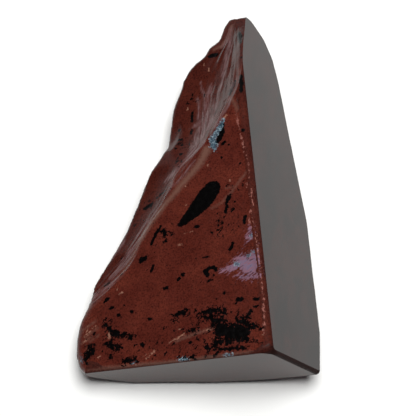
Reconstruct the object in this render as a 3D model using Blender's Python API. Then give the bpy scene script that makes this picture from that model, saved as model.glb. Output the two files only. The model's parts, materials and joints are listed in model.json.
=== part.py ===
# Mahogany obsidian specimen: one wedge of volcanic glass split from a larger lump, with its
# right side and its base sawn flat and polished. It lies on its back on Z = 0: the broad
# front face looks up, the base looks towards -Y and the tip points to +Y.

import math

import bmesh
import bpy
from mathutils import Matrix, Vector

MM = 0.001

# The rough blank stands this high before it is split, and a saw block is larger than it, in
# millimetres as all lengths here are
BLANK_HEIGHT = 60.0
SAW_BLOCK = 300.0
WELD = 0.01

# Flat faces. tilt is the angle of the face's normal from straight up, heading its compass
# angle from +X towards +Y, and distance how far the plane lies from the drawing's zero.
FRONT = {"tilt": 18.6, "heading": 175.5, "distance": 26.4}
SIDE = {"tilt": 52.0, "heading": 7.0, "distance": 38.3}
BASE = {"tilt": 82.0, "heading": -90.0, "distance": 82.6}
FLUTE = {"tilt": 34.3, "heading": 159.0, "distance": 25.2}
BACK = {"tilt": 180.0, "heading": 0.0, "distance": 0.0}
BACK_RIGHT = {"tilt": 171.4, "heading": -22.3, "distance": 2.6}
BACK_WAIST = {"tilt": 167.5, "heading": 25.0, "distance": 3.3}
BACK_LEFT = {"tilt": 130.0, "heading": 160.0, "distance": 13.2}
BACK_TIP = {"tilt": 131.4, "heading": 48.6, "distance": 45.3}

# Natural cleavage planes that trim the blank before the saw cuts
CLEAVAGES = {
    "front": FRONT,
    "flute": FLUTE,
    "lower_left_roll": {"tilt": 42.0, "heading": 180.0, "distance": 42.6},
    "tip_shoulder": {"tilt": 34.0, "heading": 97.0, "distance": 66.0},
    "back_right": BACK_RIGHT,
    "back_right_corner": {"tilt": 158.7, "heading": -39.8, "distance": 21.3},
    "back_waist": BACK_WAIST,
    "back_heel": {"tilt": 169.4, "heading": -90.0, "distance": 13.8},
    "back_left": BACK_LEFT,
    "back_left_corner": {"tilt": 152.7, "heading": 209.0, "distance": 27.9},
    "back_neck": {"tilt": 152.4, "heading": 29.0, "distance": 18.6},
    "back_shoulder": {"tilt": 152.0, "heading": 75.0, "distance": 24.2},
    "back_tip": BACK_TIP,
    "tip_end": {"tilt": 105.7, "heading": 58.2, "distance": 69.3},
    "tip_top": {"tilt": 90.0, "heading": 77.0, "distance": 80.2},
}

# Outline seen from above, from the base up the broken left edge to the tip. The right side
# and the lower edge are left long, because the saw cuts trim them.
LEFT_EDGE = [
    (-38.0, -95.0), (-44.2, -84.0), (-46.0, -81.3), (-48.6, -79.1), (-50.0, -76.8),
    (-50.4, -74.0), (-50.4, -66.0), (-50.2, -62.5), (-47.5, -56.0),
    (-43.5, -45.0), (-38.0, -33.5), (-31.0, -20.0), (-25.5, -4.5), (-21.0, 6.5),
    (-14.0, 17.0), (-12.2, 36.0), (-7.5, 50.0), (-0.5, 58.0), (4.0, 61.5),
    (5.0, 65.5), (8.5, 69.0), (11.0, 76.0), (13.5, 79.5), (14.5, 83.0), (24.0, 84.0),
]
SAW_MARGIN_X = 72.0

# Shell-shaped scoops left where flakes came away. face is the plane that each one dips
# into, at its centre seen from above, along the compass angle of its long axis, radii the
# half lengths along, across and into the face, and depth how deep it bites.
SCOOPS = {
    "upper_flute": dict(face=FLUTE, at=(2.0, 40.0), along=76, radii=(92, 34, 40), depth=3.2),
    "lower_flute": dict(face=FLUTE, at=(-27.0, -18.0), along=56, radii=(80, 26, 28), depth=2.2),
    "heel_flute": dict(face=FLUTE, at=(-36.0, -38.0), along=50, radii=(60, 26, 24), depth=2.2),
    "tip_shell": dict(face=FLUTE, at=(12.0, 66.0), along=80, radii=(24, 12, 16), depth=1.2),
    "waist_shell": dict(face=FLUTE, at=(-12.0, 23.0), along=75, radii=(17, 11, 12), depth=1.8),
    "back_hollow": dict(face=BACK, at=(8.0, -18.0), along=76, radii=(90, 52, 40), depth=2.6),
    "back_heel_scar": dict(face=BACK, at=(-8.0, -78.0), along=10, radii=(70, 44, 40), depth=3.4),
    "back_side_scar": dict(face=BACK_RIGHT, at=(38.0, -46.0), along=80, radii=(70, 30, 40), depth=2.2),
    "back_waist_scar": dict(face=BACK_WAIST, at=(26.0, 26.0), along=105, radii=(70, 40, 40), depth=2.4),
    "back_left_scar": dict(face=BACK_LEFT, at=(-36.0, -30.0), along=66, radii=(64, 24, 30), depth=2.4),
    "back_left_bite": dict(face=BACK_LEFT, at=(-12.0, 26.0), along=75, radii=(44, 22, 30), depth=2.2),
    "back_tip_scar": dict(face=BACK_TIP, at=(18.0, 67.0), along=150, radii=(34, 24, 30), depth=1.4),
}
SPHERE_SEGMENTS = 56
SPHERE_RINGS = 28

# How far the polished rims are ground back from the sharp corners
FRONT_SIDE_RIM = 1.15
SIDE_BASE_RIM = 0.55
FRONT_BASE_RIM = 0.35
CORNER_RIM = 3.2

# Polished mahogany obsidian, in linear colour
STONE_COLOUR = (0.07, 0.016, 0.009, 1.0)
STONE_ROUGHNESS = 0.15


def clear_scene():
    for thing in list(bpy.data.objects):
        bpy.data.objects.remove(thing, do_unlink=True)


def new_collection(name):
    collection = bpy.data.collections.new(name)
    bpy.context.scene.collection.children.link(collection)
    return collection


def face_normal(face):
    tilt, heading = math.radians(face["tilt"]), math.radians(face["heading"])
    level = Vector((math.cos(heading), math.sin(heading), 0.0))
    return level * math.sin(tilt) + Vector((0.0, 0.0, math.cos(tilt)))


def link_cutter(name, shape, matrix, cutters):
    mesh = bpy.data.meshes.new(name)
    shape.to_mesh(mesh)
    shape.free()
    cutter = bpy.data.objects.new(name, mesh)
    cutter.matrix_world = matrix
    cutter.hide_render = True
    cutter.display_type = "WIRE"
    cutters.objects.link(cutter)
    return cutter


def frame_on(normal, along_degrees, origin):
    # A frame whose Z is the normal and whose X follows a compass angle as nearly as it can
    angle = math.radians(along_degrees)
    along = Vector((math.cos(angle), math.sin(angle), 0.0))
    along = (along - along.dot(normal) * normal).normalized()
    across = normal.cross(along)
    turn = Matrix((along, across, normal)).transposed().to_4x4()
    return Matrix.Translation(origin) @ turn


def saw_block(name, normal, distance, cutters):
    # A box that lies wholly outside the plane and takes away what sticks out past it
    shape = bmesh.new()
    bmesh.ops.create_cube(shape, size=SAW_BLOCK * MM)
    bmesh.ops.translate(shape, verts=shape.verts, vec=(0.0, 0.0, SAW_BLOCK * MM / 2))
    along = 0.0 if abs(normal.y) > abs(normal.x) else 90.0
    return link_cutter(name, shape, frame_on(normal, along, normal * distance * MM), cutters)


def shell_ball(name, normal, at, scoop, cutters):
    # An ellipsoid that dips to the given depth below a point of the surface
    shape = bmesh.new()
    bmesh.ops.create_uvsphere(shape, u_segments=SPHERE_SEGMENTS, v_segments=SPHERE_RINGS, radius=1.0)
    bmesh.ops.scale(shape, verts=shape.verts, vec=[radius * MM for radius in scoop["radii"]])
    centre = at + normal * (scoop["radii"][2] - scoop["depth"]) * MM
    return link_cutter(name, shape, frame_on(normal, scoop["along"], centre), cutters)


def blank(parts):
    # The broken outline, filled and drawn up from the ground to well above the front face
    curve = bpy.data.curves.new("blank_outline", "CURVE")
    curve.dimensions = "2D"
    curve.fill_mode = "BOTH"
    curve.extrude = BLANK_HEIGHT / 2 * MM
    corners = LEFT_EDGE + [(SAW_MARGIN_X, LEFT_EDGE[-1][1]), (SAW_MARGIN_X, LEFT_EDGE[0][1])]
    spline = curve.splines.new("POLY")
    spline.points.add(len(corners) - 1)
    for point, (x, y) in zip(spline.points, corners):
        point.co = (x * MM, y * MM, 0.0, 1.0)
    spline.use_cyclic_u = True
    outline = bpy.data.objects.new("blank_outline", curve)
    outline.location.z = BLANK_HEIGHT / 2 * MM
    parts.objects.link(outline)
    bpy.context.view_layer.update()
    evaluated = outline.evaluated_get(bpy.context.evaluated_depsgraph_get())
    mesh = bpy.data.meshes.new_from_object(evaluated)
    shape = bmesh.new()
    shape.from_mesh(mesh)
    bmesh.ops.remove_doubles(shape, verts=shape.verts, dist=WELD * MM)
    bmesh.ops.recalc_face_normals(shape, faces=shape.faces)
    shape.to_mesh(mesh)
    shape.free()
    stone = bpy.data.objects.new("obsidian_stone", mesh)
    stone.matrix_world = outline.matrix_world
    bpy.data.objects.remove(outline, do_unlink=True)
    parts.objects.link(stone)
    return stone


def cut_away(stone, cutter):
    cut = stone.modifiers.new(cutter.name, "BOOLEAN")
    cut.operation = "DIFFERENCE"
    cut.solver = "EXACT"
    cut.object = cutter


def split_cleavages(stone, cutters):
    for name, face in CLEAVAGES.items():
        cut_away(stone, saw_block(name, face_normal(face), face["distance"], cutters))


def flake_scoops(stone, cutters):
    for name, scoop in SCOOPS.items():
        normal = face_normal(scoop["face"])
        x, y = scoop["at"]
        z = (scoop["face"]["distance"] - normal.x * x - normal.y * y) / normal.z
        ball = shell_ball(name, normal, Vector((x, y, z)) * MM, scoop, cutters)
        cut_away(stone, ball)


def rim_block(name, faces, depth, cutters):
    # A flat ground across the corner that two or three faces share, depth below the corner
    total = Vector((0.0, 0.0, 0.0))
    distance = 0.0
    for face in faces:
        total += face_normal(face)
        distance += face["distance"]
    return saw_block(name, total.normalized(), distance / total.length - depth, cutters)


def saw_and_polish(stone, cutters):
    cut_away(stone, saw_block("side_saw", face_normal(SIDE), SIDE["distance"], cutters))
    cut_away(stone, saw_block("base_saw", face_normal(BASE), BASE["distance"], cutters))
    cut_away(stone, rim_block("front_side_rim", (FRONT, SIDE), FRONT_SIDE_RIM, cutters))
    cut_away(stone, rim_block("side_base_rim", (SIDE, BASE), SIDE_BASE_RIM, cutters))
    cut_away(stone, rim_block("front_base_rim", (FRONT, BASE), FRONT_BASE_RIM, cutters))
    cut_away(stone, rim_block("corner_rim", (FRONT, SIDE, BASE), CORNER_RIM, cutters))


def centre_over_origin(stone, cutters):
    # The bottom centre of the finished stone's box becomes the world's origin
    bpy.context.view_layer.update()
    finished = stone.evaluated_get(bpy.context.evaluated_depsgraph_get())
    corners = [finished.matrix_world @ Vector(corner) for corner in finished.bound_box]
    low = Vector([min(corner[axis] for corner in corners) for axis in range(3)])
    high = Vector([max(corner[axis] for corner in corners) for axis in range(3)])
    middle = (low + high) / 2
    shift = Matrix.Translation((-middle.x, -middle.y, -low.z))
    for thing in [stone, *cutters.objects]:
        thing.matrix_world = shift @ thing.matrix_world


def obsidian_material():
    material = bpy.data.materials.new("mahogany_obsidian")
    material.use_nodes = True
    shader = material.node_tree.nodes["Principled BSDF"]
    shader.inputs["Base Color"].default_value = STONE_COLOUR
    shader.inputs["Roughness"].default_value = STONE_ROUGHNESS
    shader.inputs["Metallic"].default_value = 0.0
    return material


def main():
    clear_scene()
    parts = new_collection("polished_mahogany_obsidian")
    cutters = new_collection("cutters")
    stone = blank(parts)
    split_cleavages(stone, cutters)
    flake_scoops(stone, cutters)
    saw_and_polish(stone, cutters)
    centre_over_origin(stone, cutters)
    stone.data.materials.append(obsidian_material())


main()
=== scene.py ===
import json
import math
import bmesh
import bpy
import numpy as np
from mathutils import Matrix, Vector, noise


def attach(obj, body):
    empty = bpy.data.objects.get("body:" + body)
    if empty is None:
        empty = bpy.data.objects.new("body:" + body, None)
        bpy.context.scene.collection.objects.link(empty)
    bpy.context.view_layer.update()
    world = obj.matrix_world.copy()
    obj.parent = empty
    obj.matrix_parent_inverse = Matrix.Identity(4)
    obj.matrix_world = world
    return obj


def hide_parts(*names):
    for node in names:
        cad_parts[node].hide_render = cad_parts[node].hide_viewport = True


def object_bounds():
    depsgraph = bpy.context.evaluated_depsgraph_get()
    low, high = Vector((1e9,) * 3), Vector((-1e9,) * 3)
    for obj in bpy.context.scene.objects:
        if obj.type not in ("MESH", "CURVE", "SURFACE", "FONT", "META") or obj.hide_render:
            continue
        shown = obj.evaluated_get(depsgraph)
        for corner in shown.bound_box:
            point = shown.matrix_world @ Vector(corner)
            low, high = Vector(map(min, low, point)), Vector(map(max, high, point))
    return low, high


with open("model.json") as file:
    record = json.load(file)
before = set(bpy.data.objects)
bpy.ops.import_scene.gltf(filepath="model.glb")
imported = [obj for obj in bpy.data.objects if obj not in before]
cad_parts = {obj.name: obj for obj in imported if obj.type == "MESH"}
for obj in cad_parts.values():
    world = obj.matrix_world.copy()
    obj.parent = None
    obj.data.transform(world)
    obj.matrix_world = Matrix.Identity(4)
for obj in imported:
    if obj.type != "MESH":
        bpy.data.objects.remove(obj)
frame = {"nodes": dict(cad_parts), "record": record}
cadBox = [list(corner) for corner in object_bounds()]
mm = 0.001

# Where the photograph was taken from: above the lower end of the stone, leaning 20 degrees
viewpoint = {
    "target": (3.49, -11.03, 22.0),
    "distance": 440.0,
    "lean": 20.0,
    "lens": 90.52,
    "sensor": 36.0,
}

lean = math.radians(viewpoint["lean"])
cameraData = bpy.data.cameras.new("studioCamera")
cameraData.lens = viewpoint["lens"]
cameraData.sensor_width = viewpoint["sensor"]
cameraData.clip_start = 0.01
camera = bpy.data.objects.new("studioCamera", cameraData)
back = Vector((0.0, -math.sin(lean), math.cos(lean)))
camera.location = (Vector(viewpoint["target"]) + back * viewpoint["distance"]) * mm
camera.rotation_euler = (lean, 0.0, 0.0)
bpy.context.scene.collection.objects.link(camera)
bpy.context.scene.camera = camera
bpy.context.scene.view_settings.view_transform = "Standard"
print("camera set")


def toLinear(hexColour):
    # sRGB hex to the linear colour that the shaders want
    values = [int(hexColour[i:i + 2], 16) / 255.0 for i in (1, 3, 5)]
    linear = [v / 12.92 if v <= 0.04045 else ((v + 0.055) / 1.055) ** 2.4 for v in values]
    return (*linear, 1.0)


def addNode(tree, kind, inputs=None, stops=None, **settings):
    # Adds one node, with its settings, its ramp stops, and values or links for its inputs
    node = tree.nodes.new("ShaderNode" + kind)
    for name, value in settings.items():
        setattr(node, name, value)
    for socket, value in (inputs or {}).items():
        if isinstance(value, bpy.types.NodeSocket):
            tree.links.new(value, node.inputs[socket])
        else:
            node.inputs[socket].default_value = value
    if stops:
        points = node.color_ramp.elements
        while len(points) < len(stops):
            points.new(1.0)
        for point, (position, colour) in zip(points, stops):
            point.position = position
            point.color = toLinear(colour)
    return node


def clamp(value, low=0.0, high=1.0):
    return max(low, min(high, value))


def ease(value, low, high):
    # Smooth step from 0 at low to 1 at high
    t = clamp((value - low) / (high - low))
    return t * t * (3.0 - 2.0 * t)


# The stone. Flat faces are given by the direction they face and their distance from the
# origin, in millimetres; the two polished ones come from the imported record.
stone = {
    "voxel": 0.62,
    "smoothRounds": 6,
    "front": ((-0.31798, 0.02503, 0.94777), 26.45),
    "fluteRelief": 0.35,
    "drawnIn": 0.15,      # taken off all over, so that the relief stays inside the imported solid
    "backDrawnIn": 0.25,
    "sawAllowance": 2.5,  # left on the sawn faces and rims until they are cut
    "sawSkin": 0.02,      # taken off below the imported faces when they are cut
    "rollReach": 7.5,
    "rollRounds": 45,
    "rollParts": (1.0, 0.7, 0.45),
    "lip": 1.0,           # how high the flute's right border stands
    "leftSwell": 1.2,     # how far the left outline stands out, low down
    "leftSwellAcross": (30.0, 44.0),
    "leftSwellAlong": (20.0, 40.0),
    "shadeFrom": 0.7,    # depth below the front at which the flute's painted shade starts
    "shadeSpan": 1.6,
    "rimSteps": 6,
    "rimSegment": 0.8,
    "cornerRadius": 3.6,
}

# The upper left shoulder, which is filled out
shoulder = {
    "centre": (2.0, 59.5),
    "lean": (-0.8, 0.6),
    "push": 2.1,
    "reach": (4.0, 15.0),
}

# Relief of the fracture: how wide the bumps are and how far they rise and fall
reliefs = {
    "swell": (24.0, 0.20),
    "fineSwell": (8.0, 0.06),
    "grain": (2.2, 0.03),
    "lumps": (11.0, 0.25),
    "fineLumps": (4.0, 0.10),
    "edgeChips": (2.4, 0.3),
}

# Hackle in the flute: length, rows in half the fan's width, slice of the noise, and weight
hackles = ((16.0, 4.5, 3.0, 1.0), (9.0, 10.0, 7.0, 0.5))

# Shallow relief and fine ribs on the back and the broken sides
backShape = {
    "size": 15.0,
    "height": 0.45,
    "fractal": (0.9, 2.1, 3),
    "ribHeight": 0.03,
    "ribTurn": 1.6,
    "ribWander": 3.0,
    "nearCut": 0.25,      # share of it that is left beside the sawn faces
    "share": 0.8,
}

# Where each kind of relief fades in: the first four by the way that the surface faces, and
# the rest in millimetres
zones = {
    "front": (0.955, 0.985),
    "top": (0.15, 0.45),
    "back": (0.0, 0.3),
    "hackle": (0.35, 0.7),
    "sawn": (1.0, 12.0),
    "lipAcross": (0.5, 7.0),
    "lipStart": (22.0, 40.0),
    "lipEnd": (62.0, 76.0),
}

# Which material lies on which faces
slots = {"fracture": 0, "side": 1, "rim": 2, "base": 3, "lowerRim": 4}

# Value of a mark's field where no mark is near
farOutside = -9.0

# Where the front rolls over to the broken edge at the lower left
rollLine = [(-47.5, -50.0, 0.0), (-47.0, -64.0, 0.0), (-46.5, -86.0, 0.0)]

# Rounded rims, as how far each one reaches into its first and second face
rims = {
    "frontSide": (1.8, 2.8),
    "sideBase": (2.0, 1.9),
    "frontBase": (1.2, 1.1),
}

# The fan of hackle that runs down the flute: x, y and half width
flowLine = [
    (14.5, 76.0, 2.5), (13.5, 68.0, 4.0), (12.0, 59.0, 6.0), (7.5, 42.0, 9.5), (4.5, 25.0, 5.5),
    (2.0, 14.5, 3.4), (-6.4, 4.7, 3.4), (-14.3, -10.6, 3.8), (-21.8, -20.5, 3.8),
    (-29.6, -32.6, 3.5), (-39.6, -44.1, 2.8), (-45.0, -49.0, 2.2),
]

# Black glass in the red, seen from above: chains of x, y and radius in millimetres
blackMarks = {
    "teardrop": [(-7.9, -19.7, 1.2), (-5.5, -17.4, 2.0), (-2.4, -14.5, 3.0), (0.7, -11.2, 3.7),
        (3.2, -7.9, 4.0), (5.2, -5.2, 3.5)],
    "footLine": [(6.2, -68.8, 0.4), (11.1, -69.8, 0.5), (15.9, -70.9, 0.5), (20.7, -71.6, 0.4),
        (24.5, -72.4, 0.3)],
    "flankDot": [(-24.2, -33.6, 1.09), (-22.5, -32.9, 1.09)],
    "flankDash": [(-19.1, -36.5, 0.59), (-19.9, -38.8, 0.71)],
    "flankStreak": [(-16.2, -19.5, 0.5), (-18.1, -22.6, 0.8), (-20.1, -26.8, 0.59)],
    "underTeardrop": [(-1.6, -21.4, 0.76), (-0.6, -21.1, 0.67)],
    "middleDots": [(7.9, -21.8, 0.63)],
    "middleDotLow": [(5.0, -24.6, 0.67)],
    "middleDash": [(13.7, -29.9, 0.63), (12.4, -32.9, 0.71)],
    "smallDash": [(1.5, -35.2, 0.42), (3.2, -34.9, 0.38)],
    "ringLeft": [(2.4, -40.8, 1.01), (3.2, -42.6, 1.09)],
    "ringTop": [(4.0, -39.9, 0.76), (5.8, -39.5, 0.84), (6.8, -41.1, 0.59)],
    "ringRight": [(5.8, -43.1, 0.55)],
    "ringFoot": [(3.2, -45.3, 0.5), (5.4, -44.9, 0.5)],
    "twinHigh": [(-6.7, -41.4, 0.97)],
    "twinLow": [(-8.7, -43.3, 0.76), (-7.8, -42.8, 0.5)],
    "lowDot": [(-14.3, -46.7, 0.67), (-13.1, -46.4, 0.71)],
    "rightDots": [(10.1, -50.8, 0.67)],
    "rightDotTwo": [(11.1, -51.5, 0.5)],
    "rightBar": [(15.2, -54.2, 0.92), (16.8, -54.0, 0.97)],
    "rightBarFoot": [(14.6, -55.5, 0.5)],
    "rimBar": [(21.8, -54.3, 0.76), (23.4, -54.5, 0.67)],
    "rimDash": [(21.6, -57.4, 0.46), (23.1, -57.3, 0.42)],
    "besideRim": [(18.6, -19.4, 0.8), (18.2, -21.8, 0.8)],
    "besideRimLow": [(15.7, -23.4, 0.5)],
    "rightOfTeardrop": [(12.2, -10.3, 0.84), (11.0, -12.1, 0.55), (11.4, -13.9, 0.67),
        (10.5, -16.5, 0.63)],
    "upperDot": [(9.1, 8.4, 0.63)],
    "upperPair": [(9.9, 14.6, 0.84), (10.7, 15.4, 0.55)],
    "upperPairRight": [(12.2, 14.0, 0.63)],
    "upperRimDot": [(18.2, 19.5, 0.92)],
    "upperRimTop": [(18.6, 25.5, 0.5)],
    "nearRimDot": [(16.9, 4.8, 0.59)],
    "leftRow": [(-38.1, -49.1, 0.92), (-39.4, -50.3, 0.5)],
    "leftRowMiddle": [(-36.7, -53.3, 0.71), (-35.5, -52.8, 0.42)],
    "leftRowEnd": [(-33.2, -56.2, 0.71), (-32.0, -57.3, 0.42)],
    "lowLeftDot": [(-27.6, -55.1, 0.8)],
    "lowLeftDotTwo": [(-30.9, -52.3, 0.42)],
    "lowDash": [(-20.5, -58.9, 0.59), (-19.1, -59.2, 0.55)],
    "lowFarDot": [(-22.9, -69.3, 0.84)],
    "lowMiddleEnd": [(-3.4, -69.9, 0.76)],
    "glintShade": [(9.5, 23.7, 1.01), (9.1, 20.0, 1.43), (8.1, 16.9, 1.18), (6.9, 15.2, 0.55)],
    "tipBar": [(4.5, 63.3, 1.05), (7.2, 63.3, 1.09)],
    "tipRim": [(17.3, 70.8, 0.9), (17.7, 68.1, 1.0), (17.8, 64.6, 0.6)],
    "tipRimDot": [(17.9, 55.9, 0.5)],
    "upperRim": [(17.7, 46.0, 0.7), (17.8, 42.3, 0.9), (17.7, 38.1, 0.7)],
    "upperSlate": [(15.2, 44.2, 0.6), (14.0, 41.2, 0.9), (12.9, 38.2, 0.7)],
    "fluteBar": [(-3.4, 35.6, 0.55), (-3.5, 30.8, 0.63)],
    "fluteBarLow": [(-3.6, 26.4, 0.63), (-3.8, 24.3, 0.63)],
    "fluteDotOne": [(-9.1, 27.1, 0.8)],
    "fluteDotTwo": [(-9.5, 21.9, 0.55), (-7.7, 21.9, 0.63)],
    "fluteDotThree": [(-7.9, 18.9, 0.67)],
    "fluteDotFour": [(-8.2, 13.8, 0.84)],
    "fluteDotFive": [(-10.5, 17.2, 0.55)],
    "fluteSliver": [(1.7, 44.7, 0.34), (1.9, 42.7, 0.34)],
    "fluteNick": [(-3.3, 45.2, 0.38), (-2.9, 43.0, 0.29)],
    "fluteStreak": [(-14.4, -3.0, 0.34), (-16.4, -3.9, 0.5), (-18.4, -5.1, 0.34)],
    "fluteCluster": [(-23.5, -9.1, 0.92), (-21.8, -8.1, 0.92), (-20.1, -7.1, 0.5)],
    "fluteOutlineDot": [(-30.8, -18.4, 0.59)],
    "fluteLowStreak": [(-37.3, -41.4, 0.38), (-39.6, -43.0, 0.46)],
}

# Black patches that crumble into the red at their edges
raggedMarks = {
    "core": [(8.5, -65.2, 2.94), (13.1, -67.0, 3.78), (17.0, -67.1, 2.94)],
    "upperArm": [(9.7, -58.8, 1.47), (6.5, -57.5, 1.26), (3.4, -57.6, 1.09), (0.6, -58.8, 0.92)],
    "leftArm": [(2.2, -60.2, 1.18), (5.3, -61.3, 1.68), (8.5, -61.9, 2.1)],
    "rightArm": [(17.1, -63.1, 1.68), (19.8, -60.1, 1.09)],
    "hook": [(19.0, -65.2, 1.51), (22.0, -65.7, 0.92), (24.3, -66.7, 0.5)],
    "foot": [(15.8, -70.2, 1.51), (19.3, -70.5, 1.18), (21.9, -71.7, 0.59)],
    "toe": [(12.3, -70.7, 1.34), (8.8, -70.3, 1.18), (6.9, -71.3, 0.92)],
    "leftChain": [(-38.8, -59.9, 1.09), (-36.7, -61.8, 1.26), (-34.5, -64.2, 1.76),
        (-31.1, -64.9, 1.51), (-26.9, -65.4, 1.09)],
    "leftTwig": [(-36.8, -58.6, 0.59), (-38.3, -57.4, 0.42)],
    "leftShelf": [(-37.0, -68.4, 1.34), (-34.7, -69.6, 1.26), (-32.2, -69.8, 0.92)],
    "leftBridge": [(-35.7, -65.8, 0.67), (-36.4, -68.2, 0.76)],
    "leftCorner": [(-44.0, -68.8, 1.2), (-44.8, -71.2, 2.0), (-45.7, -73.6, 1.5)],
    "footLeft": [(-36.0, -73.2, 1.01)],
    "footBits": [(3.0, -72.6, 0.8), (8.5, -73.2, 1.0), (13.5, -73.6, 0.9), (18.5, -73.6, 0.6)],
    "footMiddle": [(-31.2, -75.8, 0.92), (-28.3, -75.7, 1.34), (-25.2, -75.5, 1.01)],
    "footRight": [(-8.1, -76.0, 0.76), (-4.5, -76.0, 0.92), (-1.4, -75.9, 0.67)],
    "lowMiddle": [(-10.3, -58.9, 1.09), (-7.9, -57.5, 0.92), (-5.3, -57.1, 1.01)],
    "lowMiddleLeft": [(-9.3, -60.5, 0.76)],
    "lowMiddleDot": [(-2.8, -64.9, 1.26), (-1.2, -64.4, 0.84)],
    "lowMiddleFar": [(-4.8, -66.0, 0.59)],
    "flankShadow": [(-14.9, -21.0, 0.92), (-14.5, -23.7, 1.18), (-14.0, -25.9, 0.92)],
    "flankShadowSmall": [(-11.3, -22.9, 0.76)],
}

# Fine black specks crowd round the ragged patches
speckZones = {
    "lowerBand": [(-7.0, -62.7, 5.88), (6.1, -63.8, 8.4), (19.7, -64.9, 5.04)],
    "lowerEdge": [(-32.2, -71.0, 4.2), (-11.7, -71.3, 3.36), (6.1, -71.8, 5.04)],
    "leftCorner": [(-42.9, -64.0, 5.04), (-36.4, -68.7, 5.88)],
    "middleRight": [(10.3, -22.1, 5.88), (14.5, -7.2, 4.2)],
    "fluteSide": [(-7.9, 21.4, 3.78), (-10.3, 8.2, 2.52)],
    "fluteMiddle": [(-21.4, -7.9, 2.94), (-28.1, -16.6, 2.1)],
    "upperFlute": [(-4.6, 42.2, 2.52)],
}

# Pale bruises, chips and scratches where the glass is crushed
paleMarks = {
    "lowScratch": [(-12.2, -69.5, 0.21), (-9.0, -67.9, 0.38), (-5.8, -66.3, 0.42)],
    "footScratch": [(-21.4, -75.7, 0.21), (-17.8, -72.3, 0.42)],
    "footScratchTwo": [(-22.6, -74.4, 0.17), (-19.8, -73.0, 0.25)],
    "patchScratch": [(1.4, -65.8, 0.38), (3.8, -65.2, 0.34)],
    "dash": [(-6.5, -23.8, 0.21), (-3.0, -23.4, 0.25)],
    "chipWhite": [(-9.2, -28.6, 0.38), (-7.3, -28.5, 0.42)],
    "chipOrange": [(-3.0, -47.4, 0.42)],
    "chipLeft": [(-33.3, -47.4, 0.34), (-31.8, -46.7, 0.34)],
    "chipLeftTail": [(-34.3, -44.5, 0.17), (-33.8, -46.1, 0.21)],
    "chipHigh": [(12.5, -2.5, 0.63)],
    "chipTop": [(3.4, 5.6, 0.5)],
    "chipOne": [(-5.9, -2.8, 0.34)],
    "chipTwo": [(-5.6, -11.2, 0.46)],
    "chipGlintTop": [(11.2, 27.9, 0.55), (10.4, 26.4, 0.5)],
    "chipLeftChain": [(-36.9, -63.6, 0.42), (-36.7, -65.7, 0.55)],
    "chipLow": [(-7.8, -64.3, 0.29)],
    "chipLeftSlope": [(-44.3, -61.3, 0.21), (-42.2, -60.0, 0.21)],
    "chipLeftSlopeTwo": [(-47.0, -63.7, 0.21), (-44.7, -62.2, 0.25)],
    "chipLeftSlopeThree": [(-47.8, -67.1, 0.25), (-46.4, -65.8, 0.21)],
    "chipFlute": [(3.7, 57.0, 0.46), (3.8, 55.4, 0.38)],
    "chipFluteLeft": [(-5.5, 38.6, 0.34), (-5.5, 37.0, 0.29)],
    "chipFluteEdge": [(1.8, 60.1, 0.25), (1.5, 58.5, 0.25)],
    "chipRimLow": [(24.6, -69.3, 0.38)],
    "chipBottomLeft": [(-41.2, -73.7, 0.29), (-40.2, -72.7, 0.25)],
}

# Tan bloom along the ridge and the faint creases; the foot band is a painted highlight along the
# front-base rim
tanAndHighlightMarks = {
    "ridge": [(3.1, 12.5, 1.93), (-0.0, 7.0, 1.76), (-3.8, 2.4, 1.6), (-7.8, -1.9, 1.51),
        (-10.9, -5.7, 1.43), (-15.5, -10.6, 1.43), (-18.7, -15.0, 1.43), (-21.9, -19.3, 1.34),
        (-24.5, -23.9, 1.09), (-26.5, -27.7, 0.71), (-28.8, -33.0, 0.5), (-31.3, -36.6, 0.42),
        (-34.5, -40.3, 0.38)],
    "tanChips": [(2.7, 13.1, 1.85), (1.5, 11.2, 1.51)],
    "tipShell": [(14.2, 76.3, 0.8), (12.8, 71.6, 1.0), (9.6, 67.4, 1.0), (6.1, 66.4, 0.6)],
    # Painted highlight along the front-base rim
    "footBand": [(-45.1, -78.0, 0.5), (-27.7, -77.6, 0.7), (-11.5, -77.3, 0.7), (6.2, -76.4, 0.6),
        (20.0, -75.4, 0.4)],
    "crease": [(20.1, 1.2, 0.29), (17.4, -2.2, 0.46), (14.9, -5.5, 0.42), (12.4, -8.7, 0.38),
        (8.7, -12.3, 0.34), (5.0, -14.0, 0.25)],
    "creaseBranch": [(14.9, -5.5, 0.34), (10.8, -5.8, 0.17)],
    "rimGlow": [(13.6, 35.7, 0.67), (15.1, 32.3, 0.76), (15.7, 29.4, 0.5)],
    "lowSwathe": [(-9.4, -69.1, 0.42), (-1.4, -66.4, 0.67), (5.7, -65.0, 0.42)],
    "leftSlopeOne": [(-48.0, -61.4, 0.38), (-42.7, -58.1, 0.34)],
    "leftSlopeTwo": [(-46.9, -64.5, 0.34), (-41.7, -61.1, 0.38)],
    "leftSlopeThree": [(-48.3, -67.0, 0.34), (-44.1, -64.7, 0.29)],
    "leftSlopeFour": [(-45.0, -67.0, 0.21), (-41.2, -64.1, 0.25)],
}

# Where the glass is scored with fine pale strokes
hatchZones = {
    "leftSlope": [(-46.0, -56.0, 2.0), (-46.4, -63.0, 3.0), (-46.2, -70.0, 2.4)],
    "leftInner": [(-42.0, -57.0, 1.0), (-42.4, -64.0, 1.4)],
    "foot": [(-22.0, -74.0, 1.4), (-12.0, -70.0, 1.2), (0.0, -66.5, 0.8)],
}
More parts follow.
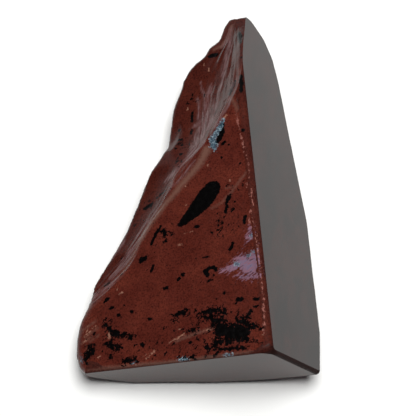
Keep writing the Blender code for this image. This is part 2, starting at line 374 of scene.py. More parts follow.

# Bands of fine hackle in the flute, painted as grey hairs of glare: a painted reflection over pale
# hackle lines
glareMarks = {
    "rightBand": [(14.0, 70.8, 0.9), (13.2, 65.7, 1.5), (12.2, 61.6, 1.4), (11.5, 57.7, 1.3),
        (10.7, 54.1, 1.2), (10.2, 50.1, 1.1), (9.2, 46.5, 1.0), (7.4, 39.2, 1.0), (6.0, 30.9, 1.2),
        (3.5, 24.0, 1.4)],
    "middleBand": [(5.7, 51.2, 0.6), (4.4, 45.7, 1.0), (3.4, 39.8, 1.2), (1.9, 32.4, 1.5),
        (1.3, 23.7, 1.5)],
    "leftHair": [(0.3, 50.8, 0.4), (0.6, 47.1, 0.5), (1.9, 43.3, 0.7), (2.2, 35.4, 1.0)],
    "farLeftHaze": [(-1.7, 44.2, 0.4), (-0.6, 36.3, 0.8), (0.4, 29.4, 1.2), (-3.8, 27.0, 0.8)],
    "crest": [(16.6, 45.6, 0.8), (14.6, 42.6, 1.0), (13.2, 38.7, 0.9), (12.3, 33.0, 0.8),
        (9.2, 28.0, 1.0), (6.8, 22.9, 1.1)],
    "confluence": [(3.4, 33.1, 1.93), (2.1, 26.7, 2.52), (-0.1, 21.3, 2.52), (-2.2, 17.0, 1.85),
        (-4.7, 12.2, 1.51)],
    "upperStrand": [(1.2, 17.4, 1.51), (-2.6, 13.1, 1.43), (-6.0, 9.8, 1.26), (-9.2, 5.9, 1.09),
        (-12.4, 4.1, 0.92), (-15.0, 1.5, 0.67)],
    "innerStrand": [(-1.7, 8.6, 0.63), (-5.5, 4.1, 0.67), (-9.3, -0.0, 0.59), (-12.7, -3.6, 0.42)],
    "lowStrand": [(-17.7, -10.7, 0.59), (-21.1, -15.0, 0.76), (-24.0, -19.1, 0.67),
        (-27.0, -22.3, 0.5)],
    "lavenderStrand": [(-25.8, -24.4, 0.92), (-29.0, -29.1, 1.51), (-32.0, -33.1, 1.85),
        (-34.7, -36.7, 1.51), (-37.2, -39.5, 1.01)],
    "outlineStrand": [(-29.3, -14.5, 0.5), (-31.3, -18.9, 0.84), (-32.0, -23.1, 0.84),
        (-34.9, -26.9, 1.01), (-37.4, -30.3, 0.84)],
    "bottomStrand": [(-34.1, -39.7, 0.67), (-37.1, -42.9, 1.09), (-40.4, -45.1, 1.26),
        (-43.4, -46.7, 1.18), (-44.7, -49.5, 0.76)],
    "tipHaze": [(13.7, 75.4, 1.09), (12.8, 70.5, 1.34), (10.1, 67.2, 1.26)],
}

# Painted lilac sheen: a painted reflection on splintered glass beside the polished rim
lilacSheenMarks = {
    "lilacPatch": [(22.2, -34.2, 1.2), (22.0, -38.6, 2.6), (20.4, -41.2, 3.4), (17.6, -38.6, 3.3),
        (14.8, -39.8, 2.4), (12.2, -40.6, 1.5)],
    "lilacFringe": [(23.9, -44.9, 0.9), (19.8, -44.6, 1.2), (15.8, -44.4, 1.0)],
    "lilacTail": [(11.4, -40.7, 0.8), (9.4, -41.3, 0.5)],
    "lilacHead": [(20.5, -25.4, 1.1), (21.0, -27.8, 1.4), (19.2, -29.6, 0.6)],
}

# Painted blue-grey glints on splintered glass
glintMarks = {
    "glint": [(10.1, 25.8, 0.67), (8.5, 22.9, 1.22), (6.8, 19.9, 1.09), (5.3, 17.3, 1.43),
        (5.9, 14.5, 1.6), (6.5, 12.3, 0.55)],
    "blueDotOne": [(14.8, -39.2, 0.9), (15.6, -39.4, 0.8)],
    "blueDotTwo": [(19.5, -36.2, 0.8), (20.2, -35.8, 0.6)],
    "blueDotThree": [(21.4, -34.8, 0.7), (22.6, -34.5, 0.6)],
    "blueDotHead": [(21.2, -27.8, 0.9)],
    "cornerHaze": [(-48.6, -71.8, 0.3), (-47.8, -74.8, 0.4)],
    "bottomBlue": [(-8.1, -76.5, 0.55), (-4.9, -76.7, 0.63)],
    "bottomBlueRight": [(10.0, -76.0, 0.5), (12.7, -76.0, 0.55)],
    "bottomBlueLeft": [(-26.2, -76.6, 0.5)],
}

# Small bright chips along the inner border of the polished rim
chipLine = {
    "rimChips": [(15.4, 27.5, 0.38), (15.8, 25.1, 0.38), (16.4, 22.2, 0.34), (17.2, 18.3, 0.34),
        (18.0, 13.6, 0.34), (19.4, 7.6, 0.29), (20.2, 4.4, 0.38), (20.3, 2.1, 0.42),
        (20.7, -1.1, 0.34), (19.6, -4.3, 0.25), (19.8, -6.6, 0.38), (21.6, -7.6, 0.34),
        (20.9, -11.0, 0.38), (21.9, -14.5, 0.38), (20.4, -18.1, 0.29), (19.8, -20.6, 0.29),
        (21.5, -24.7, 0.29), (22.5, -28.6, 0.34), (23.4, -34.1, 0.34), (24.3, -39.6, 0.34),
        (24.9, -46.7, 0.29), (25.3, -55.4, 0.38), (25.4, -62.4, 0.38), (25.1, -68.1, 0.38)],
}


def facePlane(direction, distance):
    return Vector(direction).normalized(), distance


def planeOf(mountName):
    # A polished face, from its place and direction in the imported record
    for mount in frame["record"]["mounts"]:
        if mount["name"] == mountName:
            normal = Vector(mount["axis"]).normalized()
            return normal, normal.dot(Vector(mount["pos_m"])) / mm
    raise ValueError("no mount called " + mountName)


def chainField(x, y, chains):
    # Radius less distance to the nearest chain, in millimetres: above zero inside a mark
    best = np.full(len(x), farOutside)
    for chain in chains.values():
        links = list(zip(chain, chain[1:])) or [(chain[0], chain[0])]
        for (ax, ay, ra), (bx, by, rb) in links:
            dx, dy = bx - ax, by - ay
            along = ((x - ax) * dx + (y - ay) * dy) / max(dx * dx + dy * dy, 1e-6)
            along = np.clip(along, 0.0, 1.0)
            gap = np.hypot(x - ax - along * dx, y - ay - along * dy)
            best = np.maximum(best, ra + (rb - ra) * along - gap)
    return best


def flowField(x, y):
    # Distance along the fan, place across it in half widths, and how strongly it shows
    bestGap = np.full(len(x), 1e9)
    along = np.zeros(len(x))
    across = np.zeros(len(x))
    walked = 0.0
    for (ax, ay, wa), (bx, by, wb) in zip(flowLine, flowLine[1:]):
        dx, dy = bx - ax, by - ay
        length = math.hypot(dx, dy)
        t = np.clip(((x - ax) * dx + (y - ay) * dy) / length ** 2, 0.0, 1.0)
        gapX, gapY = x - ax - t * dx, y - ay - t * dy
        gap = np.hypot(gapX, gapY)
        side = np.sign(dx * gapY - dy * gapX)
        near = gap < bestGap
        bestGap = np.where(near, gap, bestGap)
        along = np.where(near, walked + t * length, along)
        across = np.where(near, side * gap / (wa + (wb - wa) * t), across)
        walked += length
    strength = np.clip((1.35 - np.abs(across)) / 0.7, 0.0, 1.0)
    return along, across, strength


def cutDirections():
    # The ways that the sawn faces, the rims between them and their corner face
    front = facePlane(*stone["front"])[0]
    side, base = planeOf("polished_side")[0], planeOf("polished_base")[0]
    sums = (side, base, front + side, side + base, front + base, front + side + base)
    return [total.normalized() for total in sums]


def growFace(bm, normal):
    # Adds the saw allowance to one flat face, so that its edges stay crisp when it is cut back
    flat = [face for face in bm.faces if face.normal.dot(normal) > 0.9998]
    grown = bmesh.ops.extrude_face_region(bm, geom=flat)["geom"]
    moved = [item for item in grown if isinstance(item, bmesh.types.BMVert)]
    bmesh.ops.translate(bm, verts=moved, vec=normal * stone["sawAllowance"] * mm)
    bmesh.ops.delete(bm, geom=[face for face in flat if face.is_valid], context="FACES")


def denseCopy():
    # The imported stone's mesh, merged and remeshed finely enough to carry the fracture detail
    bm = bmesh.new()
    bm.from_mesh(frame["nodes"]["obsidian_stone"].data)
    bmesh.ops.remove_doubles(bm, verts=bm.verts, dist=1e-6)
    bm.normal_update()
    for normal in cutDirections():
        growFace(bm, normal)
    mesh = bpy.data.meshes.new("mahoganyStone")
    bm.to_mesh(mesh)
    bm.free()
    piece = bpy.data.objects.new("mahoganyStone", mesh)
    bpy.context.scene.collection.objects.link(piece)
    remesh = piece.modifiers.new("fineVoxels", "REMESH")
    remesh.mode = "VOXEL"
    remesh.voxel_size = stone["voxel"] * mm
    depsgraph = bpy.context.evaluated_depsgraph_get()
    dense = bpy.data.meshes.new_from_object(piece.evaluated_get(depsgraph))
    piece.modifiers.clear()
    piece.data = dense
    return piece


def bumps(p, kind):
    # Height of one kind of relief at a point, in millimetres
    size, height = reliefs[kind]
    return noise.noise(p / size) * height


def backBumps(p):
    # Height of the back's relief at a point, in millimetres
    size = backShape["size"]
    ribs = math.sin(p.length * backShape["ribTurn"] + backShape["ribWander"] * noise.noise(p / size))
    broad = noise.fractal(p / size, *backShape["fractal"]) * backShape["height"]
    return broad + backShape["ribHeight"] * ribs


def roughen(bm):
    # Moves each vertex along its normal, by the kind of fracture that it lies on
    frontNormal = facePlane(*stone["front"])[0]
    sawn = planeOf("polished_side"), planeOf("polished_base")
    sideNormal, sideDistance = sawn[0]
    nearCut = backShape["nearCut"]
    points = np.array([v.co[:] for v in bm.verts]) / mm
    along, across, strength = flowField(points[:, 0], points[:, 1])
    normals = [v.normal.copy() for v in bm.verts]
    for i, vert in enumerate(bm.verts):
        p, n = Vector(points[i]), normals[i]
        onFront = ease(n.dot(frontNormal), *zones["front"])
        onTop = ease(n.z, *zones["top"])
        onBack = ease(-n.z, *zones["back"])
        swell = bumps(p, "swell") + bumps(p, "fineSwell")
        hackle = sum(weight * noise.noise(Vector((along[i] / length, across[i] * rows, depth)))
                     for length, rows, depth, weight in hackles)
        lumps = bumps(p, "lumps") + bumps(p, "fineLumps")
        flute = hackle * stone["fluteRelief"] * strength[i] * ease(n.z, *zones["hackle"]) + lumps
        inside = min(distance - normal.dot(p) for normal, distance in sawn)
        rough = backBumps(p) * (nearCut + (1.0 - nearCut) * ease(inside, *zones["sawn"]))
        move = onFront * swell + (1.0 - onFront) * onTop * flute
        move += (1.0 - onTop) * rough * backShape["share"]
        chips = bumps(p, "edgeChips") * onTop * (1.0 - onTop) * 4.0
        move = move + bumps(p, "grain") + chips - stone["drawnIn"] - stone["backDrawnIn"] * onBack
        lip = 1.0 - ease(sideDistance - sideNormal.dot(p), *zones["lipAcross"])
        lip *= ease(p.y, *zones["lipStart"]) * (1.0 - ease(p.y, *zones["lipEnd"]))
        move += lip * (1.0 - onFront) * onTop * stone["lip"]
        vert.co = (p + n * move) * mm


def swellEdges(bm):
    # Fills out the upper left shoulder and the lower left outline
    (centreX, centreY), (leanX, leanY) = shoulder["centre"], shoulder["lean"]
    for vert in bm.verts:
        x, y = vert.co.x / mm, vert.co.y / mm
        gap = math.hypot(x - centreX, y - centreY)
        out = (1.0 - ease(gap, *shoulder["reach"])) * shoulder["push"]
        left = ease(-x, *stone["leftSwellAcross"]) * ease(-y, *stone["leftSwellAlong"])
        left *= stone["leftSwell"]
        vert.co += Vector((leanX * out - left, leanY * out, 0.0)) * mm


def cutFlat(bm, normal, distance, slot, flat=False):
    # Saws off all that sticks out past a plane and closes the cut
    geometry = bm.verts[:] + bm.edges[:] + bm.faces[:]
    cut = bmesh.ops.bisect_plane(bm, geom=geometry, dist=1e-7, plane_co=normal * distance * mm,
                                 plane_no=normal, clear_outer=True)
    edges = [e for e in cut["geom_cut"] if isinstance(e, bmesh.types.BMEdge) and e.is_boundary]
    if not edges:
        return
    for face in bmesh.ops.holes_fill(bm, edges=edges, sides=0)["faces"]:
        if face.normal.dot(normal) < 0.0:
            face.normal_flip()
        face.material_index = slot
        face.smooth = not flat


def meetingPoint(planes):
    # The corner where three planes meet, in millimetres
    rows = Matrix([normal for normal, _ in planes])
    return rows.inverted() @ Vector([distance for _, distance in planes])


def roundRim(bm, first, second, reach, slot):
    # Grinds a rim round with planes that touch a smooth curve from one face to the other
    (n1, d1), (n2, d2) = first, second
    edge = n1.cross(n2).normalized()
    sharp = meetingPoint([first, second, (edge, 0.0)])
    inFirst = edge.cross(n1).normalized()
    inSecond = edge.cross(n2).normalized()
    if inFirst.dot(n2) > 0.0:
        inFirst.negate()
    if inSecond.dot(n1) > 0.0:
        inSecond.negate()
    start, end = sharp + inFirst * reach[0], sharp + inSecond * reach[1]
    steps = stone["rimSteps"]
    for step in range(steps):
        t = (step + 0.5) / steps
        point = start * (1 - t) ** 2 + sharp * 2 * t * (1 - t) + end * t ** 2
        tangent = ((sharp - start) * (1 - t) + (end - sharp) * t).normalized()
        normal = edge.cross(tangent).normalized()
        if normal.dot(n1 + n2) < 0.0:
            normal.negate()
        cutFlat(bm, normal, normal.dot(point), slot)


def sawAndPolish(bm):
    # The two sawn faces, their rounded rims and the rounded corner between them
    front = facePlane(*stone["front"])
    side, base = planeOf("polished_side"), planeOf("polished_base")
    for (normal, distance), slot in ((side, slots["side"]), (base, slots["base"])):
        cutFlat(bm, normal, distance - stone["sawSkin"], slot, flat=True)
    roundRim(bm, front, side, rims["frontSide"], slots["rim"])
    roundRim(bm, side, base, rims["sideBase"], slots["lowerRim"])
    roundRim(bm, front, base, rims["frontBase"], slots["lowerRim"])
    radius = stone["cornerRadius"]
    centre = meetingPoint([(n, d - radius) for n, d in (front, side, base)])
    # The corner takes the lower rims' material, and with it their painted shade
    for a, b, c in ((1, 1, 1), (2, 1, 1), (1, 2, 1), (1, 1, 2), (2, 2, 1), (2, 1, 2), (1, 2, 2)):
        normal = (front[0] * a + side[0] * b + base[0] * c).normalized()
        cutFlat(bm, normal, normal.dot(centre) + radius, slots["lowerRim"])


def rollEdge(bm):
    # Rounds the crease at the lower left, across its length only
    points = np.array([v.co[:] for v in bm.verts]) / mm
    depth = chainField(points[:, 0], points[:, 1], {"roll": rollLine})
    for part in stone["rollParts"]:
        near = [v for v, d in zip(bm.verts, depth) if d > -stone["rollReach"] * part]
        for _ in range(stone["rollRounds"]):
            bmesh.ops.smooth_vert(bm, verts=near, factor=0.5, use_axis_x=True, use_axis_z=True)


def divideRims(bm):
    # Short edges along the rims, so that the marks can cross them
    rimSlots = (slots["rim"], slots["lowerRim"])
    for edge in [e for e in bm.edges if any(f.material_index in rimSlots for f in e.link_faces)]:
        cuts = int(edge.calc_length() / mm / stone["rimSegment"])
        if cuts:
            bmesh.ops.subdivide_edges(bm, edges=[edge], cuts=cuts)


def keepInside(bm):
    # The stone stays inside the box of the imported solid
    for vert in bm.verts:
        for axis in range(3):
            vert.co[axis] = clamp(vert.co[axis], cadBox[0][axis], cadBox[1][axis])


def writeFields(mesh):
    # Attributes that tell the glass where its marks are
    count = len(mesh.vertices)
    points = np.empty(count * 3)
    normals = np.empty(count * 3)
    mesh.vertices.foreach_get("co", points)
    mesh.vertices.foreach_get("normal", normals)
    points = points.reshape(-1, 3) / mm
    up = np.clip((normals.reshape(-1, 3)[:, 2] - 0.25) / 0.2, 0.0, 1.0)
    x, y = points[:, 0], points[:, 1]
    along, across, strength = flowField(x, y)
    tables = {"black": blackMarks, "ragged": raggedMarks, "speck": speckZones, "pale": paleMarks,
              "soft": tanAndHighlightMarks, "glare": glareMarks, "hackle": lilacSheenMarks, "glint": glintMarks,
              "chip": chipLine, "hatch": hatchZones}
    for name, table in tables.items():
        values = np.where(up > 0.5, chainField(x, y, table), farOutside)
        mesh.attributes.new(name + "Depth", "FLOAT", "POINT").data.foreach_set("value", values)
    # Painted shade for the flute, which grows with depth below the front
    frontNormal, frontDistance = facePlane(*stone["front"])
    below = frontDistance - points @ np.array(frontNormal)
    paintedFluteShade = np.clip((below - stone["shadeFrom"]) / stone["shadeSpan"], 0.0, 1.0)
    mesh.attributes.new("paintedFluteShade", "FLOAT", "POINT").data.foreach_set("value", paintedFluteShade)
    flow = np.stack((along, across, strength * up), axis=1).ravel()
    mesh.attributes.new("flow", "FLOAT_VECTOR", "POINT").data.foreach_set("vector", flow)


def newMaterial(name):
    material = bpy.data.materials.new(name)
    material.use_nodes = True
    tree = material.node_tree
    tree.nodes.clear()
    shader = addNode(tree, "BsdfPrincipled")
    addNode(tree, "OutputMaterial", {"Surface": shader.outputs["BSDF"]})
    return material, tree, shader


# Colours of the glass, read off the stone; glare, lilac, rose, blue and ice are painted reflection and
# glint colours, and bloom also paints a highlight along the front-base rim
glass = {
    "deepRed": "#501f17",
    "red": "#58241b",
    "brightRed": "#622a1f",
    "black": "#040303",
    "pale": "#8f6554",
    "chip": "#8e5a50",
    "glare": "#674c4c",
    "bloom": "#65463c",
    "lilac": "#6f647b",
    "rose": "#7f5a67",
    "blue": "#2f4754",
    "ice": "#8ea0a8",
}

# Sizes of the glass's patterns, in millimetres
patternSize = {
    "cloud": 12.0,
    "grain": 0.7,
    "crowd": 24.0,
    "crumb": 0.9,
    "edge": 1.5,
    "ripple": 1.6,
}

# Obsidian's refractive index, and how rough lapping leaves it
glassIor = 1.5
lappedRoughness = 0.04


def glassPattern(tree):
    # Red-brown glass clouded at 12 mm and grained at 0.7 mm, with black specks of 1 to 2 mm
    coords = addNode(tree, "TexCoord").outputs["Object"]
    inMm = addNode(tree, "Mapping", {"Vector": coords, "Scale": (1000.0, 1000.0, 1000.0)}).outputs[0]
    cloud = addNode(tree, "TexNoise", {"Vector": inMm, "Scale": 1 / patternSize["cloud"],
                                       "Detail": 5.0, "Roughness": 0.6, "Distortion": 0.5})
    red = addNode(tree, "ValToRGB", {"Fac": cloud.outputs["Fac"]},
                  stops=[(0.34, glass["deepRed"]), (0.5, glass["red"]), (0.66, glass["brightRed"])])
    grain = addNode(tree, "TexNoise", {"Vector": inMm, "Scale": 1 / patternSize["grain"],
                                       "Detail": 4.0, "Roughness": 0.75})
    grainTone = addNode(tree, "ValToRGB", {"Fac": grain.outputs["Fac"]},
                        stops=[(0.34, "#7c7c7c"), (0.52, "#e6e6e6"), (0.68, "#ffffff")])
    grained = addNode(tree, "Mix", {0: 0.9, 6: red.outputs["Color"], 7: grainTone.outputs["Color"]},
                      data_type="RGBA", blend_type="MULTIPLY")
    drawn = addNode(tree, "Mapping", {"Vector": inMm, "Rotation": (0.0, 0.0, math.radians(55.0)),
                                      "Scale": (2.6, 1.6, 1.6)}, vector_type="TEXTURE").outputs[0]
    speck = addNode(tree, "TexNoise", {"Vector": drawn, "Scale": 1.0, "Detail": 4.0, "Roughness": 0.66})
    crowd = addNode(tree, "TexNoise", {"Vector": inMm, "Scale": 1 / patternSize["crowd"],
                                       "Detail": 1.0})
    return inMm, grained.outputs[2], speck.outputs["Fac"], crowd.outputs["Fac"]


def markMask(tree, field, edgeNoise, ragged, low, high, strength=1.0):
    # Where one kind of mark shows: its field in millimetres, broken up at the edge by noise
    depth = addNode(tree, "Attribute", attribute_name=field + "Depth").outputs["Fac"]
    rough = addNode(tree, "Math", {0: edgeNoise, 1: ragged, 2: -0.5 * ragged}, operation="MULTIPLY_ADD")
    level = addNode(tree, "Math", {0: depth, 1: rough.outputs[0]}, operation="ADD")
    return addNode(tree, "MapRange", {"Value": level.outputs[0], "From Min": low, "From Max": high,
                                      "To Max": strength}).outputs[0]


def layer(tree, mask, under, over):
    # Lays one colour over another where the mask shows
    over = toLinear(over) if isinstance(over, str) else over
    return addNode(tree, "Mix", {0: mask, 6: under, 7: over}, data_type="RGBA").outputs[2]


def markedMaterial(name, dull, relief, lustre, shade=0.0):
    # Mahogany obsidian broken by a blow, conchoidal glass that is glossy but finely rippled; on the
    # rounded rims the same glass is ground matt and carries painted shade, so they look darker and
    # hardly shine
    material, tree, shader = newMaterial(name)
    inMm, red, speck, crowd = glassPattern(tree)
    crumb = addNode(tree, "TexNoise", {"Vector": inMm, "Scale": 1 / patternSize["crumb"],
                                       "Detail": 4.0, "Roughness": 0.75}).outputs["Fac"]
    edge = addNode(tree, "TexNoise", {"Vector": inMm, "Scale": 1 / patternSize["edge"],
                                      "Detail": 4.0, "Roughness": 0.7}).outputs["Fac"]

    # Hairs of painted glare that run down the flute, 1 mm or so apart
    flow = addNode(tree, "Attribute", attribute_name="flow").outputs["Vector"]
    parts = addNode(tree, "SeparateXYZ", {"Vector": flow})
    slow = addNode(tree, "Math", {0: parts.outputs["X"], 1: 1 / 13.0}, operation="MULTIPLY")
    wide = addNode(tree, "Math", {0: parts.outputs["Y"], 1: 3.4}, operation="MULTIPLY")
    fan = addNode(tree, "CombineXYZ", {"X": slow.outputs[0], "Y": wide.outputs[0]}).outputs[0]
    lock = addNode(tree, "TexNoise", {"Vector": fan, "Scale": 0.9, "Detail": 2.0, "Distortion": 0.3})
    fine = addNode(tree, "TexNoise", {"Vector": fan, "Scale": 2.2, "Detail": 4.0, "Roughness": 0.7})
    hair = addNode(tree, "Mix", {0: 0.55, 2: lock.outputs["Fac"], 3: fine.outputs["Fac"]}).outputs[0]

    # Slashes across the splintered patch, 1 mm wide and several long
    slant = addNode(tree, "Mapping", {"Vector": inMm, "Rotation": (0.0, 0.0, math.radians(30.0)),
                                      "Scale": (4.2, 0.9, 0.9)}, vector_type="TEXTURE").outputs[0]
    slash = addNode(tree, "TexNoise", {"Vector": slant, "Scale": 1.0, "Detail": 4.0,
                                       "Roughness": 0.7}).outputs["Fac"]

    # Strokes 0.3 mm wide and 2 to 3 mm long where the edge is scored
    stroke = addNode(tree, "Mapping", {"Vector": inMm, "Rotation": (0.0, 0.0, math.radians(48.0)),
                                       "Scale": (2.6, 0.3, 0.3)}, vector_type="TEXTURE").outputs[0]
    scored = addNode(tree, "TexNoise", {"Vector": stroke, "Scale": 1.0, "Detail": 3.0,
                                        "Roughness": 0.65}).outputs["Fac"]

    hatch = markMask(tree, "hatch", scored, 14.0, 3.5, 3.9, 0.7)
    bands = markMask(tree, "glare", hair, 6.0, -0.2, 1.0, 0.95)
    strands = addNode(tree, "MapRange", {"Value": fine.outputs["Fac"], "From Min": 0.40,
                                         "From Max": 0.60, "To Min": 0.15}).outputs[0]
    glare = addNode(tree, "Math", {0: bands, 1: strands}, operation="MULTIPLY").outputs[0]
    bloom = markMask(tree, "soft", crumb, 3.0, -0.6, 1.4, 0.9)
    lilac = markMask(tree, "hackle", slash, 14.0, -0.4, 1.4, 0.85)
    glint = markMask(tree, "glint", crumb, 5.0, -0.2, 0.5, 0.9)
    pale = markMask(tree, "pale", crumb, 2.5, -0.05, 0.35, 0.8)
    chips = markMask(tree, "chip", edge, 4.0, 0.0, 0.45, 0.85)
    blots = markMask(tree, "black", edge, 2.2, -0.10, 0.12)
    crumbled = markMask(tree, "ragged", edge, 10.0, -0.12, 0.15)

    near = markMask(tree, "speck", crowd, 4.0, -3.0, 3.0, 0.10)
    lot = addNode(tree, "Math", {0: crowd, 1: 0.10, 2: near}, operation="MULTIPLY_ADD")
    level = addNode(tree, "Math", {0: speck, 1: lot.outputs[0]}, operation="ADD")
    specks = addNode(tree, "MapRange", {"Value": level.outputs[0], "From Min": 0.715, "From Max": 0.735})
    patches = addNode(tree, "Math", {0: blots, 1: crumbled}, operation="MAXIMUM")
    black = addNode(tree, "Math", {0: patches.outputs[0], 1: specks.outputs[0]}, operation="MAXIMUM")
    # Black marks show less where the painted glare lies over them
    underPaintedGlare = addNode(tree, "Math", {0: glare, 1: -0.45, 2: 1.0}, operation="MULTIPLY_ADD")
    blackShow = addNode(tree, "Math", {0: black.outputs[0], 1: underPaintedGlare.outputs[0]}, operation="MULTIPLY")

    # Painted sheen: lilac and rose over the splintered patch
    roseTone = addNode(tree, "MapRange", {"Value": slash, "From Min": 0.4, "From Max": 0.62}).outputs[0]
    paintedSheen = layer(tree, roseTone, toLinear(glass["lilac"]), glass["rose"])
    # Painted glint: blue and ice in fine crumbs
    iceTone = addNode(tree, "MapRange", {"Value": crumb, "From Min": 0.5, "From Max": 0.66}).outputs[0]
    paintedGlint = layer(tree, iceTone, toLinear(glass["blue"]), glass["ice"])

    # Painted shade: darker in the flute than on the front, and darker on the rims by their shade
    paintedFluteShade = addNode(tree, "Attribute", attribute_name="paintedFluteShade").outputs["Fac"]
    hollowShade = addNode(tree, "Math", {0: paintedFluteShade, 1: 0.34, 2: shade}, operation="MULTIPLY_ADD")
    red = layer(tree, hollowShade.outputs[0], red, glass["black"])

    colour = layer(tree, bloom, red, glass["bloom"])
    colour = layer(tree, glare, colour, glass["glare"])
    colour = layer(tree, blackShow.outputs[0], colour, glass["black"])
    colour = layer(tree, lilac, colour, paintedSheen)
    colour = layer(tree, chips, colour, glass["chip"])
    colour = layer(tree, hatch, colour, glass["pale"])
    colour = layer(tree, pale, colour, glass["pale"])
    colour = layer(tree, glint, colour, paintedGlint)

    ripple = addNode(tree, "TexNoise", {"Vector": inMm, "Scale": 1 / patternSize["ripple"],
                                        "Detail": 5.0, "Roughness": 0.6})
    lift = addNode(tree, "Math", {0: glare, 1: 0.4, 2: ripple.outputs["Fac"]}, operation="MULTIPLY_ADD")
    bump = addNode(tree, "Bump", {"Strength": relief, "Distance": 0.00012, "Height": lift.outputs[0]})
    gloss = addNode(tree, "MapRange", {"Value": ripple.outputs["Fac"], "From Min": 0.3, "From Max": 0.7,
                                      "To Min": dull[0], "To Max": dull[1]})
    tree.links.new(colour, shader.inputs["Base Color"])
    tree.links.new(gloss.outputs[0], shader.inputs["Roughness"])
    tree.links.new(bump.outputs["Normal"], shader.inputs["Normal"])
    shader.inputs["IOR"].default_value = glassIor
    shader.inputs["Specular IOR Level"].default_value = lustre
    return material


def polishedMaterial(name, depth, lustre):
    # Mahogany obsidian sawn and lapped to a mirror, so the surroundings lie over a deep body colour
    material, tree, shader = newMaterial(name)
    inMm, red, speck, crowd = glassPattern(tree)
    lot = addNode(tree, "Math", {0: crowd, 1: 0.12, 2: speck}, operation="MULTIPLY_ADD")
    specks = addNode(tree, "MapRange", {"Value": lot.outputs[0], "From Min": 0.66, "From Max": 0.69})
    bands = addNode(tree, "Mapping", {"Vector": inMm, "Rotation": (0.0, 0.0, math.radians(62.0)),
                                      "Scale": (40.0, 9.0, 9.0)}, vector_type="TEXTURE").outputs[0]
    band = addNode(tree, "TexNoise", {"Vector": bands, "Scale": 1.0, "Detail": 5.0, "Roughness": 0.6,
                                      "Distortion": 0.6}).outputs["Fac"]
    murk = addNode(tree, "MapRange", {"Value": band, "From Min": 0.38, "From Max": 0.62,
                                      "To Min": depth - 0.14, "To Max": depth + 0.06}).outputs[0]
    deep = layer(tree, murk, red, glass["black"])
    body = layer(tree, specks.outputs[0], deep, glass["black"])
    tree.links.new(body, shader.inputs["Base Color"])
    shader.inputs["Roughness"].default_value = lappedRoughness
    shader.inputs["IOR"].default_value = glassIor
    shader.inputs["Specular IOR Level"].default_value = lustre
    return material


piece = denseCopy()
bm = bmesh.new()
bm.from_mesh(piece.data)
for _ in range(stone["smoothRounds"]):
    bmesh.ops.smooth_vert(bm, verts=bm.verts, factor=0.5,
                          use_axis_x=True, use_axis_y=True, use_axis_z=True)
rollEdge(bm)
bm.normal_update()
print("stone remeshed:", len(bm.verts), "vertices")
roughen(bm)
swellEdges(bm)
for face in bm.faces:
    face.smooth = True
    face.material_index = slots["fracture"]
sawAndPolish(bm)
divideRims(bm)
keepInside(bm)
bmesh.ops.triangulate(bm, faces=[f for f in bm.faces if len(f.verts) > 4])
bm.normal_update()
piece.data.materials.clear()
for material in (
    markedMaterial("mahoganyObsidianFracture", dull=(0.12, 0.24), relief=0.5, lustre=0.32),
    polishedMaterial("mahoganyObsidianSide", depth=0.88, lustre=0.55),
    # The rims carry painted shade: 0.3 here, and 0.5 on the lower rims and corner
    markedMaterial("mahoganyObsidianRim", dull=(0.55, 0.68), relief=0.1, lustre=0.04, shade=0.3),
    # The base's body is left redder than the side's: a painted brown reflection
    polishedMaterial("mahoganyObsidianBase", depth=0.62, lustre=0.2),
    markedMaterial("mahoganyObsidianLowerRim", dull=(0.45, 0.58), relief=0.1, lustre=0.1, shade=0.5),
):
    piece.data.materials.append(material)
bm.to_mesh(piece.data)
bm.free()
writeFields(piece.data)
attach(piece, "root")
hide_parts("obsidian_stone")
print("stone finished:", len(piece.data.polygons), "faces")

# Plain pale floor, and soft studio light
studio = {
    "floorSize": 12.0,
    "floorColour": "#eeeeec",
    "skyLow": "#7c7d80",
    "skyHigh": "#1e1f22",
    "keyDirection": (0.10, 0.16, 0.98),
    "keyDistance": 1.3,
    "keySize": 0.9,
    "keyPower": 24.0,
    "panelDirection": (-0.745, 0.628, 0.228),
    "panelSize": 0.6,
    "panelPower": 0.15,
}


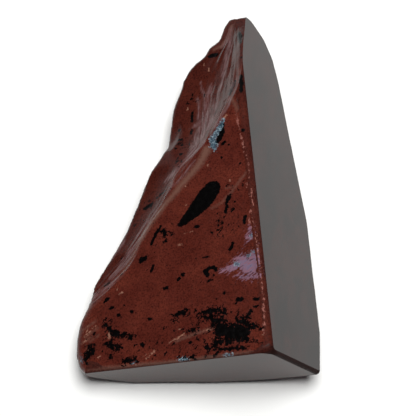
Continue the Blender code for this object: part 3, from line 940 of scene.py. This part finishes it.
def makeFloor():
    # Matt painted board, so it shows no gloss of its own
    material, tree, shader = newMaterial("paintedStudioFloor")
    coords = addNode(tree, "TexCoord").outputs["Object"]
    fleck = addNode(tree, "TexNoise", {"Vector": coords, "Scale": 30.0, "Detail": 2.0})
    tone = addNode(tree, "ValToRGB", {"Fac": fleck.outputs["Fac"]},
                   stops=[(0.3, studio["floorColour"]), (0.7, "#f2f2f0")])
    tree.links.new(tone.outputs["Color"], shader.inputs["Base Color"])
    shader.inputs["Roughness"].default_value = 0.9
    shader.inputs["Specular IOR Level"].default_value = 0.0
    bm = bmesh.new()
    bmesh.ops.create_grid(bm, x_segments=1, y_segments=1, size=studio["floorSize"] / 2)
    mesh = bpy.data.meshes.new("studioFloor")
    bm.to_mesh(mesh)
    bm.free()
    mesh.materials.append(material)
    floor = bpy.data.objects.new("studioFloor", mesh)
    bpy.context.scene.collection.objects.link(floor)


def softLight(name, direction, distance, size, power):
    data = bpy.data.lights.new(name, "AREA")
    data.shape = "DISK"
    data.size = size
    data.energy = power
    light = bpy.data.objects.new(name, data)
    away = Vector(direction).normalized()
    light.location = Vector(viewpoint["target"]) * mm + away * distance
    light.rotation_euler = away.to_track_quat("Z", "Y").to_euler()
    light.visible_camera = False
    bpy.context.scene.collection.objects.link(light)


def makeSky():
    # Pale all round near the floor and dimmer overhead, as in a light tent with an open top
    world = bpy.data.worlds.new("lightTent")
    world.use_nodes = True
    tree = world.node_tree
    tree.nodes.clear()
    coords = addNode(tree, "TexCoord").outputs["Generated"]
    height = addNode(tree, "SeparateXYZ", {"Vector": coords}).outputs["Z"]
    tone = addNode(tree, "ValToRGB", {"Fac": height},
                   stops=[(0.20, studio["skyLow"]), (0.45, studio["skyHigh"])])
    glow = addNode(tree, "Background", {"Color": tone.outputs["Color"], "Strength": 1.0})
    addNode(tree, "OutputWorld", {"Surface": glow.outputs["Background"]})
    bpy.context.scene.world = world


makeFloor()
for light, kind in (("keyLight", "key"), ("lowPanel", "panel")):
    softLight(light, studio[kind + "Direction"], studio["keyDistance"], studio[kind + "Size"],
              studio[kind + "Power"])
makeSky()
print("studio set")
